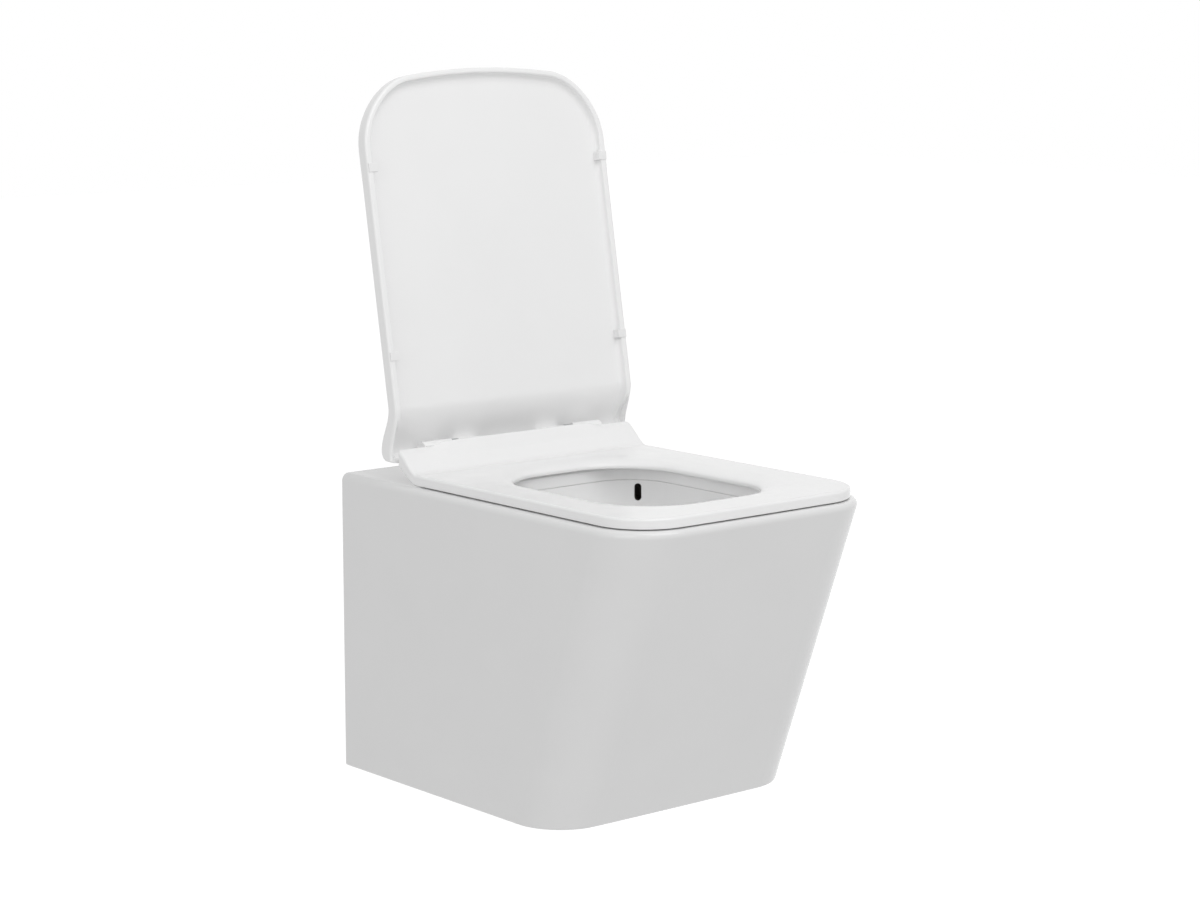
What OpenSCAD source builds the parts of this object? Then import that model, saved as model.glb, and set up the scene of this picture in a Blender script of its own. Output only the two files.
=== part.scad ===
// Wall hung toilet with a box shaped pan, a slim seat and a soft closing lid.
// X is across the pan, -Y is its front and +Z is up. The wall is the plane Y = 0,
// and the origin lies half way between the two wall fixing holes.

/* [Pan] */
// Width of the pan
pan_w = 360; // [345:1:390]
// Height of the pan from its underside to its deck
pan_h = 345; // [335:1:360]
// Reach of the pan from the wall at its deck
pan_d_top = 516; // [505:1:540]
// Reach of the pan from the wall at its underside
pan_d_bottom = 381; // [370:1:430]
// Radius of the front corners at the deck
pan_r_top = 70; // [60:1:80]
// Radius of the front corners at the underside
pan_r_bottom = 60; // [50:1:75]
// How far the front bulges between its corners
pan_bow = 1.5; // [0:0.5:6]
// Rounding of the deck's outer edge
rim_round = 9; // [4:0.5:9]
// Rounding of the lower edge
foot_round = 3; // [1:0.5:5]
// Thickness of the fired clay walls
wall_t = 10; // [8:0.5:11]
// Thickness of the deck
deck_t = 12; // [9:0.5:13]
// Depth of the opening under the rear that lets the wall nuts be reached
access_d = 125; // [90:1:130]
// Width of the floor left on each side of that opening
access_edge = 25; // [15:1:35]

/* [Bowl] */
// Width of the bowl's mouth
bowl_w = 242; // [236:1:252]
// Distance of the mouth's rear edge from the wall
bowl_back = 166; // [162:1:172]
// Distance of the mouth's front edge from the wall
bowl_front = 458; // [445:1:462]
// Radius of the mouth's rear corners
bowl_r_back = 55; // [40:1:65]
// Radius of the mouth's front corners
bowl_r_front = 75; // [60:1:85]
// Height of the upright band below the mouth
band_h = 16; // [12:1:20]
// How far the water channel is cut back under the band
channel_cut = 3.5; // [2:0.5:5]
// Distance of the sump's centre from the wall
sump_y = 240; // [236:1:244]
// Radius of the sump's floor
sump_r = 30; // [29:0.5:34]
// Height of the sump's floor above the pan's underside
sump_rise = 35; // [33:1:40]
// Steepness of the bowl's walls
bowl_fall = 1.4; // [1.2:0.05:1.6]
// Thickness of the bowl's wall
bowl_t = 9; // [8:0.5:10]
// Width of the flush port
port_w = 8; // [7:0.5:12]
// Height of the flush port
port_h = 20; // [16:1:22]
// Depth of the flush port's centre below the deck
port_drop = 30; // [29:0.5:32]
// Direction that the flush port lies in, seen from the centre of the mouth's rear corner
port_turn = 40; // [36:1:50]
// Bore of the duct that leads to the flush port
duct_d = 22; // [18:0.5:24]
// Thickness of the duct's wall
duct_t = 7; // [6:0.5:8]

/* [Trap] */
// Radius of the trap's waterway
trap_r = 29; // [27:0.5:30]
// Thickness of the trap's wall
trap_t = 8; // [7:0.5:9]
// Radius of the trap's bends
bend_r = 40; // [39:0.5:42]
// Height of the overflow's centre line above the outlet's
weir_rise = 12; // [10:0.5:13]

/* [Connections] */
// Distance between the two wall fixing holes
fix_pitch = 180; // [160:1:230]
// Height of the wall fixing holes above the pan's underside
fix_h = 260; // [252:1:264]
// Thickness of the rear web that bears on the wall
web_t = 16; // [12:0.5:20]
// Depth of the rear web below the fixing holes
web_drop = 35; // [28:1:40]
// Diameter of the fixing holes through the web
fix_hole_d = 20; // [18:0.5:24]
// Diameter of the inlet for the flush pipe
inlet_d = 55; // [50:0.5:57]
// Height of the inlet above the fixing holes
inlet_rise = 35; // [33:0.5:36]
// Depth of the inlet
inlet_l = 55; // [45:1:58]
// Thickness of the inlet's wall
inlet_t = 9; // [7:0.5:10]
// Length of the neck behind the inlet
neck_l = 20; // [17:1:22]
// Outer diameter of the outlet spigot
outlet_d = 102; // [98:0.5:104]
// Bore of the outlet spigot
outlet_bore = 84; // [80:0.5:88]
// Drop of the outlet below the fixing holes
outlet_drop = 100; // [98:0.5:104]
// Length of the outlet spigot
outlet_l = 80; // [60:1:95]
// How far the spigot ends short of the wall
outlet_setback = 5; // [2:0.5:10]

/* [Seat] */
// How far the seat lies inside the pan's outline
seat_inset = 9.5; // [9.5:0.5:12]
// Thickness of the seat
seat_t = 11.5; // [10:0.5:13]
// Gap between the pan and the seat
seat_gap = 1.2; // [0.8:0.1:2]
// Width of the opening in the seat
hole_w = 213; // [206:1:226]
// Distance of the opening's rear edge from the wall
hole_back = 172; // [170:1:180]
// Distance of the opening's front edge from the wall
hole_front = 437; // [430:1:450]
// Radius of the opening's rear corners
hole_r_back = 80; // [50:1:90]
// Radius of the opening's front corners
hole_r_front = 69; // [58:1:80]
// Width of the soft slope round the opening
dish_w = 36; // [20:1:38]
// Depth of the soft slope round the opening
dish_h = 8.5; // [5:0.5:9]
// Height of the seat's rear crest above its hinge axis
seat_crest = 4.7; // [4:0.1:5.5]
// Length of the seat's climb to its crest
climb_l = 39; // [36:1:42]

/* [Lid] */
// Thickness of the lid at its edge
lid_t = 16.5; // [14:0.5:18]
// Thickness of the lid's panel
panel_t = 7.5; // [7:0.5:8.5]
// Width of the lip round the panel
lip_w = 11; // [9:0.5:12]
// How far the lid stands out beyond the seat on each side
lid_over = 3.5; // [3:0.5:4.5]
// Gap between the closed lid and the seat
lid_gap = 1.4; // [1:0.1:2.5]
// Radius of the lid's front corners
lid_r = 70; // [60:1:76]
// How far the lid's front edge bulges between its corners
lid_bow = 18; // [12:0.5:20]
// How far the lid's front corners lie behind the seat's front edge
lid_short = 9.5; // [8:0.5:12]
// Height of the lid's hump above its hinge axis
hump_h = 19.5; // [19:0.5:22]
// How far the lid opens from closed
lid_open = 100; // [96:1:102]

/* [Hinge] */
// Distance of the hinge axis from the wall
hinge_y = 87.5; // [84:0.5:90]
// Height of the hinge axis above the deck
hinge_rise = 33.5; // [33:0.5:36]
// Distance between the two seat fixing holes
seat_pitch = 155; // [150:1:160]
// Diameter of the seat fixing holes
seat_hole_d = 15; // [13.5:0.5:17]
// Width of the hinge post's head
post_w = 10; // [9:0.5:12]
// Distance of the post's centre from the middle of the pan
post_x = 84; // [83:0.5:85]
// Radius of the post's head
post_r = 7.25; // [7:0.25:7.75]
// Depth of the post's stem from front to back
stem_t = 8; // [7:0.5:8]
// Diameter of the hinge pins
pin_d = 6; // [5:0.5:6]
// Radius of the seat's hinge barrels
seat_barrel_r = 8; // [7.75:0.25:8.25]
// Distance of the seat barrel's outer end from the middle of the pan
seat_barrel_end = 131; // [127:1:136]
// Radius of the lid's hinge barrels
lid_barrel_r = 6.5; // [6.25:0.25:6.75]
// Distance of the lid barrel's inner end from the middle of the pan
lid_barrel_end = 44; // [38:1:48]
// Radius of the seat's damper and bush
seat_damper_r = 6; // [5.75:0.25:6.25]
// Radius of the lid's damper and bush
lid_damper_r = 5; // [4.75:0.25:5.25]
// Thickness of the dampers' walls
damper_wall = 1.2; // [1:0.1:1.4]
// Gap between hinge pieces side by side
side_gap = 0.6; // [0.4:0.1:1]
// Radial running clearance of the hinge pins
run_gap = 0.05; // [0.03:0.01:0.09]

/* [Hinge fixing] */
// Radius of the base plate
base_r = 20; // [18:0.5:21]
// Thickness of the base plate
base_t = 2.5; // [2:0.1:2.5]
// Radius of the base plate's boss
boss_r = 9; // [8:0.5:10]
// Height of the boss above the base plate
boss_h = 4.5; // [4:0.1:5]
// Radius of the post's foot
foot_r = 14; // [13:0.5:15]
// Height of the foot's top above the deck
foot_top = 10.5; // [10:0.1:10.8]
// Diameter of the grub screw in the foot
grub_d = 3; // [2.5:0.5:4]
// Diameter of the hinge bolt
bolt_d = 6; // [5:0.5:8]
// Length of the hinge bolt
bolt_l = 58; // [56:1:62]
// Radius of the bush below the deck
bush_r = 10; // [9:0.5:11]
// Length of the bush below the deck
bush_l = 27; // [24:1:30]
// Thickness of the nut below the bush
bush_nut_t = 9; // [7:0.5:10]

/* [Small parts] */
// Width of the seat's buffers
seat_buffer_w = 12; // [10:1:14]
// Length of the seat's buffers
seat_buffer_l = 32; // [24:1:36]
// Distance of the seat's rear buffers from the wall
seat_buffer_back = 214; // [200:1:240]
// Distance of the seat's front buffers behind the seat's front edge
seat_buffer_front = 86.5; // [82:0.5:110]
// Length of the lid's buffers
lid_buffer_l = 10; // [8:0.5:14]
// Distance of the lid's rear buffers from the hinge axis
lid_buffer_back = 107; // [90:1:120]
// Distance of the lid's front buffers behind the lid's front corners
lid_buffer_front = 90.5; // [84:0.5:120]
// How far the lid's buffers stand into the lid's hollow
lid_buffer_proud = 2; // [1:0.5:3]
// Depth that a buffer sits in its socket
socket_h = 3; // [2:0.1:3.5]

/* [Wall fixing] */
// Diameter of the wall studs
stud_d = 12; // [10:1:12]
// Thickness of the sleeves' flange
flange_t = 3; // [2:0.5:4]
// Width of the sleeves' flange beyond the hole
flange_w = 5; // [3:0.5:8]
// Diameter of the washers on the studs
washer_d = 32; // [28:1:36]
// Thickness of the washers
washer_t = 2.5; // [2:0.5:3]
// Width of the nuts across their flats
nut_af = 19; // [18:0.5:20]
// Thickness of the nuts
nut_t = 10; // [8:0.5:11]
// Length of the caps beyond the nuts
cap_l = 20; // [12:1:26]
// Thickness of the caps' wall
cap_t = 2; // [1.5:0.25:3]

/* [Hidden] */

$fn = 48;
arc_n = 8;
e = 0.02;
fit = 0.05;
rest_gap = 0.3;
bolt_gap = 0.3;
cheek_gap = 0.4;
end_wall = 3;
end_gap = 0.5;
behind = 20;
tall = 120;

base_z = -fix_h;
deck_z = pan_h - fix_h;
band_z = deck_z - band_h;
sump_z = base_z + sump_rise;
inlet_r = inlet_d / 2;
spigot_r = outlet_d / 2;

axis_y = -hinge_y;
axis_z = deck_z + hinge_rise;
seat_z = deck_z + seat_gap;
seat_top = seat_z + seat_t;
seat_climb = axis_z + seat_crest - seat_top;
seat_hw = pan_w / 2 - seat_inset;
seat_front = seat_inset - pan_d_top;
seat_r = pan_r_top - seat_inset;
seat_end = axis_y - seat_barrel_r - 0.5;
climb_y = -hinge_y - 4.5 - climb_l;
crest_l = 16;
crest_y = seat_end - crest_l;
seat_opens = 98;
stem_rear = 1.75;

lip_z = seat_top + lid_gap;
lid_top = lip_z + lid_t;
hump_z = axis_z + hump_h;
hump_r = 10;
hump_y = axis_y - 0.5;
hump_l = 50;
tail_y = axis_y + 13;
tail_drop = 4.2;
tail_t = 3.8;
inner_drop = 12;
cheek_l = 58;
cheek_y = axis_y - 50;
cheek_z = axis_z + 0.6;
lid_hw = seat_hw + lid_over;
lid_front = seat_front + lid_short;

barrel_x = post_x + post_w / 2 + side_gap;
lid_barrel_x = post_x - post_w / 2 - side_gap;
seat_barrel_l = seat_barrel_end - end_wall - fit - barrel_x;
lid_barrel_l = lid_barrel_x - lid_barrel_end - end_wall - fit;
pin_in_post = post_w / 2 - 0.2;
half_pitch = seat_pitch / 2;

bend_1y = 45 - sump_y;
leg_y = bend_1y + bend_r;
bend_2y = leg_y + bend_r;
trap_z = sump_z + trap_r;
weir_z = weir_rise - outlet_drop;
spigot_y = -outlet_setback - outlet_l;
stud_hole_r = stud_d / 2 + 0.5;
nut_r = nut_af / 2 / cos(30);

// Smooth step from 0 to 1, level at both ends
function ease(t) = let (c = min(1, max(0, t))) c * c * (3 - 2 * c);

// Points along an arc in the plane
function arc(x, y, r, a0, a1, n = arc_n) =
    [for (i = [0:n]) let (a = a0 + (a1 - a0) * i / n) [x + r * cos(a), y + r * sin(a)]];

// Rounded plan outline, counter-clockwise, with a front edge that may bulge
function outline(hw, back, front, r_front, r_back, bow = 0) =
    let (
        flat = hw - r_front,
        points = concat(
            arc(hw - r_back, back - r_back, r_back, 0, 90),
            arc(r_back - hw, back - r_back, r_back, 90, 180),
            arc(r_front - hw, front + r_front, r_front, 180, 270),
            [for (i = [1:5]) [-flat + 2 * flat * i / 6, front]],
            arc(hw - r_front, front + r_front, r_front, 270, 360)
        )
    )
    [for (p = points)
        let (share = min(1, max(0, (front + r_front - p.y) / r_front)))
        [p.x, p.y - bow * share * (1 - pow(p.x / hw, 2))]];

function lift(points, z) = [for (p = points) [p.x, p.y, z]];

// Closed skin over rings that are stacked from the bottom up
module loft(rings) {
    n = len(rings[0]);
    m = len(rings);
    polyhedron(
        points = [for (r = rings) each r],
        faces = concat(
            [[for (i = [0:n - 1]) i]],
            [for (j = [0:m - 2]) for (i = [0:n - 1]) each [
                [j * n + i, (j + 1) * n + i, (j + 1) * n + (i + 1) % n],
                [j * n + i, (j + 1) * n + (i + 1) % n, j * n + (i + 1) % n]
            ]],
            [[for (i = [n - 1:-1:0]) (m - 1) * n + i]]
        )
    );
}

module rod_x(x0, x1, r) {
    translate([x0, axis_y, axis_z]) rotate([0, 90, 0]) cylinder(h = x1 - x0, r = r);
}

module rod_y(x, y0, y1, z, r) {
    translate([x, y0, z]) rotate([-90, 0, 0]) cylinder(h = y1 - y0, r = r);
}

module on_both_sides() {
    children();
    mirror([1, 0, 0]) children();
}

// Outline of the pan at a height, drawn in by a distance
function pan_at(z, inset) =
    let (
        t = (z - base_z) / pan_h,
        reach = pan_d_bottom + (pan_d_top - pan_d_bottom) * t,
        r = pan_r_bottom + (pan_r_top - pan_r_bottom) * t
    )
    lift(outline(pan_w / 2 - inset, behind, inset - reach, r - inset, 2, pan_bow), z);

module pan_body() {
    foot = [for (a = [90:-30:0]) pan_at(base_z + foot_round * (1 - sin(a)), foot_round * (1 - cos(a)))];
    rim = [for (a = [0:15:90]) pan_at(deck_z - rim_round * (1 - sin(a)), rim_round * (1 - cos(a)))];
    difference() {
        loft(concat(foot, rim));
        translate([-pan_w, 0, base_z - pan_h]) cube([2 * pan_w, 2 * behind, 3 * pan_h]);
    }
}

module pan_void() {
    loft([pan_at(base_z + wall_t, wall_t), pan_at(deck_z - deck_t, wall_t)]);
    translate([wall_t + access_edge - pan_w / 2, -access_d, base_z - 1])
        cube([pan_w - 2 * (wall_t + access_edge), access_d + behind, wall_t + 2]);
}

// Outline of the bowl from its channel, at 0, down to its sump, at 1
function bowl_at(t, out) =
    let (
        f = pow(cos(90 * t), bowl_fall),
        hw = sump_r + (bowl_w / 2 + channel_cut - sump_r) * f,
        back = sump_r - sump_y + (sump_y - sump_r - bowl_back + channel_cut) * f,
        front = -sump_y - sump_r - (bowl_front + channel_cut - sump_y - sump_r) * f,
        r_back = sump_r + (bowl_r_back + channel_cut - sump_r) * f,
        r_front = sump_r + (bowl_r_front + channel_cut - sump_r) * f
    )
    lift(outline(hw + out, back + out, front - out, r_front + out, r_back + out),
        band_z + (sump_z - band_z) * t - out * t);

function mouth(out) =
    outline(bowl_w / 2 + out, out - bowl_back, -bowl_front - out, bowl_r_front + out, bowl_r_back + out);

module bowl_skin(out) {
    loft([for (i = [12:-1:0]) bowl_at(i / 12 * 0.99, out)]);
}

module bowl_outside() {
    bowl_skin(bowl_t);
    translate([0, 0, band_z - e]) linear_extrude(band_h - 1) polygon(mouth(channel_cut + bowl_t));
}

module bowl_inside() {
    bowl_skin(0);
    translate([0, 0, band_z - 1]) linear_extrude(band_h + 2) polygon(mouth(0));
}

// Waterway from the sump, over the overflow and into the spigot
module trap(r) {
    rod_y(0, -sump_y, bend_1y, trap_z, r);
    translate([0, bend_1y, trap_z + bend_r]) rotate([0, 90, 0])
        rotate_extrude(angle = 90) translate([bend_r, 0]) circle(r);
    translate([0, leg_y, trap_z + bend_r]) cylinder(h = weir_z - trap_z - 2 * bend_r, r = r);
    translate([0, bend_2y, weir_z - bend_r]) rotate([0, 90, 0])
        rotate_extrude(angle = 90, start = 180) translate([bend_r, 0]) circle(r);
}

module trap_outside() {
    trap(trap_r + trap_t);
    rod_y(0, bend_2y, spigot_y + 1, weir_z, trap_r + trap_t);
    rod_y(0, spigot_y, -outlet_setback, -outlet_drop, spigot_r);
}

module trap_inside() {
    trap(trap_r);
    rod_y(0, bend_2y, spigot_y + trap_t + 1, weir_z, trap_r);
    rod_y(0, spigot_y + trap_t, behind, -outlet_drop, outlet_bore / 2);
}

// Neck and duct that carry the flush from the inlet to its port
port_c = [bowl_w / 2 - bowl_r_back, -bowl_back - bowl_r_back, deck_z - port_drop];
port_far = bowl_r_back + channel_cut + duct_d / 2 + 5.5;
duct_end = port_c + port_far * [cos(port_turn), sin(port_turn), 0];
duct_start = [0, -inlet_l - neck_l, inlet_rise];
duct_v = duct_end - duct_start;

module flush_way(grow, y_end) {
    r = duct_d / 2 + grow;
    translate(duct_start) rotate([0, acos(duct_v.z / norm(duct_v)), atan2(duct_v.y, duct_v.x)])
        cylinder(h = norm(duct_v), r = r);
    translate(duct_end) sphere(r + 0.5);
    rod_y(0, duct_start.y - duct_d / 2 - grow, y_end, inlet_rise, inlet_r - inlet_t + grow);
}

module port() {
    translate(port_c) rotate([0, 0, port_turn]) {
        for (s = [-1, 1]) translate([0, 0, s * (port_h - port_w) / 2])
            rotate([0, 90, 0]) cylinder(h = port_far, r = port_w / 2);
        translate([0, -port_w / 2, (port_w - port_h) / 2]) cube([port_far, port_w, port_h - port_w]);
    }
}

module pan() {
    color("gainsboro") difference() {
        union() {
            difference() {
                pan_body();
                pan_void();
            }
            intersection() {
                pan_body();
                union() {
                    bowl_outside();
                    translate([-pan_w / 2 + 1, -web_t, -web_drop])
                        cube([pan_w - 2, web_t, deck_z + web_drop - 1]);
                    flush_way(duct_t, 0);
                    rod_y(0, -inlet_l - inlet_t, 0, inlet_rise, inlet_r + inlet_t);
                    translate([-inlet_r, -inlet_l - inlet_t, inlet_rise + inlet_r])
                        cube([2 * inlet_r, inlet_l + inlet_t, deck_z - 1 - inlet_rise - inlet_r]);
                }
            }
            trap_outside();
        }
        bowl_inside();
        trap_inside();
        rod_y(0, -inlet_l, behind, inlet_rise, inlet_r);
        flush_way(0, 0);
        port();
        on_both_sides() {
            rod_y(fix_pitch / 2, -web_t - 1, behind, 0, fix_hole_d / 2);
            translate([half_pitch, axis_y, deck_z - deck_t - 1])
                cylinder(h = deck_t + 2, r = seat_hole_d / 2);
        }
    }
}

// Height of the closed lid's skin above a place, lowered by a distance
function lid_skin_z(y, drop) = lid_top - drop + (hump_z - lid_top) * ease((y - hump_y + hump_l) / hump_l);

function seat_top_z(y) = seat_top + seat_climb * ease((y - climb_y) / climb_l);

crest_raise = lid_skin_z(seat_end, panel_t) - lid_gap - seat_top_z(seat_end);

// Side profiles of the seat and of its raised middle crest, drawn in Y and Z
seat_profile = concat(
    [[seat_front - 10, seat_z]],
    [for (i = [0:12]) let (y = climb_y + (seat_end - climb_y) * i / 12)
        [y, seat_z + (seat_climb - 5) * ease((y - climb_y) / (climb_l + 4))]],
    [for (i = [12:-1:0]) let (y = climb_y + (seat_end - climb_y) * i / 12) [y, seat_top_z(y)]],
    [[seat_front - 10, seat_top]]
);
crest_profile = concat(
    [[crest_y, seat_top_z(crest_y) - 4], [seat_end, seat_top_z(crest_y) - 4]],
    [for (i = [8:-1:0]) let (y = crest_y + crest_l * i / 8) [y, seat_top_z(y) + crest_raise * ease(i / 8)]]
);

module across(half_width, profile) {
    rotate([90, 0, 90]) translate([0, 0, -half_width]) linear_extrude(2 * half_width) polygon(profile);
}

// Plan outline of the seat's opening, grown by a distance
function opening(out) =
    outline(hole_w / 2 + out, out - hole_back, -hole_front - out,
        hole_r_front + out, hole_r_back + out, pan_bow);

module seat_opening() {
    loft(concat(
        [lift(opening(0), seat_z - 1)],
        [for (a = [0:18:90]) lift(opening(dish_w * (1 - cos(a))), seat_top - dish_h * (1 - sin(a)) + e)],
        [lift(opening(dish_w), seat_top + 1)]
    ));
}

module seat_buffer_places() {
    on_both_sides() for (y = [-seat_buffer_back, seat_front + seat_buffer_front])
        translate([(hole_w / 2 + seat_hw) / 2, y, 0]) children();
}

// Block with rounded ends that lies along Y
module pill(w, l, h) {
    for (s = [-1, 1]) translate([0, s * (l - w) / 2, 0]) cylinder(h = h, r = w / 2);
    translate([-w / 2, (w - l) / 2, 0]) cube([w, l - w, h]);
}

module seat_ring() {
    color("white") difference() {
        union() {
            intersection() {
                across(seat_hw + 1, seat_profile);
                translate([0, 0, seat_z - 1]) linear_extrude(seat_t + seat_climb + 2)
                    polygon(outline(seat_hw, seat_end, seat_front, seat_r, 6, pan_bow));
            }
            across(seat_barrel_end, crest_profile);
            on_both_sides() {
                rod_x(barrel_x, seat_barrel_end, seat_barrel_r);
                translate([barrel_x, seat_end - 2, axis_z - 5])
                    cube([seat_barrel_end - barrel_x, axis_y - seat_end + 2, 9]);
            }
        }
        seat_opening();
        on_both_sides() rod_x(barrel_x - 1, seat_barrel_end - end_wall, seat_damper_r + fit);
        seat_buffer_places() translate([0, 0, seat_z - 1])
            pill(seat_buffer_w + 2 * fit, seat_buffer_l + 2 * fit, socket_h + 1);
    }
}

module seat_buffers() {
    color("ghostwhite") seat_buffer_places() translate([0, 0, deck_z + rest_gap])
        pill(seat_buffer_w, seat_buffer_l, seat_gap - rest_gap + socket_h - fit);
}

// Side profiles of the closed lid, drawn in Y and Z
function lid_skin(drop) =
    [for (i = [0:14]) let (y = hump_y - hump_l * (1 - i / 14)) [y, lid_skin_z(y, drop)]];
lid_tail = concat(
    arc(hump_y, hump_z - hump_r, hump_r, 90, 15),
    [[tail_y, axis_z - tail_drop], [tail_y - tail_t, axis_z - tail_drop]]
);

// The whole lid, whose cheeks reach down beside the seat's rear end
lid_profile = concat(
    [[seat_front - behind, lid_top]], lid_skin(0), lid_tail, [[tail_y - tail_t, cheek_z]],
    [for (i = [12:-1:0]) [cheek_y + cheek_l * i / 12, lip_z + (cheek_z - lip_z) * ease(i / 12)]],
    [[seat_front - behind, lip_z]]
);

// The room that the seat's climb and the hinge take between the cheeks
seat_room = concat(
    [[climb_y, lip_z - behind]],
    [for (i = [0:12]) [climb_y + climb_l * i / 12, lip_z + (hump_z - inner_drop - lip_z) * ease(i / 12)]],
    [[tail_y - tail_t - 2.5, hump_z - inner_drop], [tail_y - tail_t, axis_z + 5],
        [tail_y - tail_t, axis_z - behind]]
);

tray_profile = concat(
    [[seat_front - behind, lid_top - panel_t]], lid_skin(panel_t),
    [[tail_y - tail_t - 4, hump_z - panel_t], [tail_y - tail_t, axis_z + 5],
        [tail_y - tail_t, axis_z - behind], [climb_y, lip_z - behind], [seat_front - behind, lip_z - behind]]
);

module lid_plan(inset) {
    translate([0, 0, lip_z - behind]) linear_extrude(tall)
        polygon(outline(lid_hw - inset, tail_y + 6, lid_front + inset, lid_r - inset, 3, lid_bow));
}

// Swings what is drawn closed into the open position of the rest pose
module lid_opened() {
    translate([0, axis_y, axis_z]) rotate([-lid_open, 0, 0]) translate([0, -axis_y, -axis_z]) children();
}

lid_buffer_x = lid_hw - lip_w - lid_buffer_proud;

// Block across the lip from the lid's hollow to 1 mm from its edge
module lid_buffer_block(z0, z1, grow) {
    on_both_sides() for (y = [axis_y - lid_buffer_back, lid_front + lid_buffer_front])
        translate([lid_buffer_x - grow, y - lid_buffer_l / 2 - grow, z0])
            cube([lip_w + lid_buffer_proud - 1 + 2 * grow, lid_buffer_l + 2 * grow, z1 - z0]);
}

module lid() {
    color("white") lid_opened() difference() {
        union() {
            difference() {
                intersection() {
                    across(lid_hw + 1, lid_profile);
                    lid_plan(0);
                }
                across(seat_hw + cheek_gap, seat_room);
                intersection() {
                    across(lid_hw - lip_w, tray_profile);
                    lid_plan(lip_w);
                }
            }
            on_both_sides() {
                rod_x(lid_barrel_end, lid_barrel_x, lid_barrel_r);
                translate([lid_barrel_end, axis_y - 5, axis_z])
                    cube([lid_barrel_x - lid_barrel_end, 10, hump_h - panel_t + 1]);
            }
        }
        on_both_sides() {
            rod_x(lid_barrel_end + end_wall, lid_barrel_x + 1, lid_damper_r + fit);
            translate([lid_barrel_x, axis_y, axis_z]) rotate([seat_opens + lid_open - 180, 0, 0])
                translate([0, -stem_rear - side_gap, -behind])
                    cube([barrel_x - lid_barrel_x, 3 * behind, tall]);
        }
        lid_buffer_block(lip_z - 1, lip_z + socket_h, fit);
    }
}

module lid_buffers() {
    color("ghostwhite") lid_opened() {
        lid_buffer_block(seat_top + rest_gap, lip_z + socket_h - fit, 0);
        intersection() {
            lid_buffer_block(lip_z, lid_top - panel_t - fit, 0);
            across(lid_hw - lip_w - fit, tray_profile);
        }
    }
}

module at_seat_holes() {
    on_both_sides() translate([half_pitch, axis_y, deck_z]) children();
}

module hinge_bases() {
    color("silver") at_seat_holes() difference() {
        union() {
            cylinder(h = base_t, r = base_r);
            cylinder(h = base_t + boss_h, r = boss_r);
        }
        translate([0, 0, -1]) cylinder(h = base_t + boss_h + 2, r = bolt_d / 2 + bolt_gap);
        translate([0, 0, base_t + boss_h - bolt_d / 2])
            cylinder(h = bolt_d / 2 + e, r1 = bolt_d / 2 + bolt_gap, r2 = bolt_d + bolt_gap);
    }
}

module hinge_post(side) {
    z0 = deck_z + base_t + 0.1;
    mirror([side < 0 ? 1 : 0, 0, 0]) difference() {
        union() {
            translate([half_pitch, axis_y, z0]) cylinder(h = deck_z + foot_top - z0, r = foot_r);
            translate([post_x - post_w / 2, axis_y + stem_rear - stem_t, deck_z + foot_top - 3])
                cube([post_w, stem_t, hinge_rise - foot_top + 3]);
            rod_x(post_x - post_w / 2, post_x + post_w / 2, post_r);
        }
        translate([half_pitch, axis_y, z0 - 1]) cylinder(h = boss_h + 1 + rest_gap, r = boss_r + 0.1);
        translate([half_pitch, axis_y + boss_r, deck_z + base_t + boss_h / 2])
            rotate([-90, 0, 0]) cylinder(h = foot_r, r = grub_d / 2 + fit);
        rod_x(post_x - post_w, post_x + post_w, pin_d / 2);
    }
}

module hinge_post_left() {
    color("silver") hinge_post(-1);
}

module hinge_post_right() {
    color("silver") hinge_post(1);
}

module hinge_grub_screws() {
    color("dimgray") at_seat_holes() difference() {
        translate([0, boss_r + fit, base_t + boss_h / 2])
            rotate([-90, 0, 0]) cylinder(h = foot_r - boss_r, r = grub_d / 2);
        translate([0, foot_r - grub_d / 2, base_t + boss_h / 2])
            rotate([-90, 0, 0]) cylinder(h = grub_d, r = grub_d * 0.3, $fn = 6);
    }
}

module hinge_bolts() {
    color("silver") at_seat_holes() translate([0, 0, base_t + boss_h - 0.1]) difference() {
        union() {
            translate([0, 0, -bolt_l]) cylinder(h = bolt_l, r = bolt_d / 2);
            translate([0, 0, -bolt_d / 2]) cylinder(h = bolt_d / 2, r1 = bolt_d / 2, r2 = bolt_d);
        }
        translate([0, 0, -2]) cylinder(h = 3, r = bolt_d / 3, $fn = 6);
    }
}

module expansion_bushes() {
    color("darkgray") at_seat_holes() difference() {
        union() {
            translate([0, 0, -deck_t - bush_l]) cylinder(h = bush_l - fit, r = bush_r);
            translate([0, 0, -deck_t - 1]) cylinder(h = deck_t + 0.8, r = seat_hole_d / 2 - 0.2);
        }
        translate([0, 0, -deck_t - bush_l - 1]) cylinder(h = deck_t + bush_l + 2, r = bolt_d / 2 + bolt_gap);
    }
}

module expansion_nuts() {
    color("goldenrod") at_seat_holes() translate([0, 0, -deck_t - bush_l - bush_nut_t - 0.1]) difference() {
        cylinder(h = bush_nut_t, r = bush_r - 1, $fn = 6);
        translate([0, 0, -1]) cylinder(h = bush_nut_t + 2, r = bolt_d / 2);
    }
}

// Each pin, bush and damper is drawn along X from its open end, at the post, inwards
module from_post(x_open, way) {
    translate([x_open, axis_y, axis_z]) rotate([0, 90 * way, 0]) children();
}

module pivot_pin(l) {
    translate([0, 0, -side_gap - pin_in_post])
        cylinder(h = side_gap + pin_in_post + l - end_gap, r = pin_d / 2);
}

module bearing_bush(l, r) {
    difference() {
        cylinder(h = l, r = r);
        translate([0, 0, -1]) cylinder(h = l - damper_wall + 1, r = pin_d / 2 + run_gap);
    }
}

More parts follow.
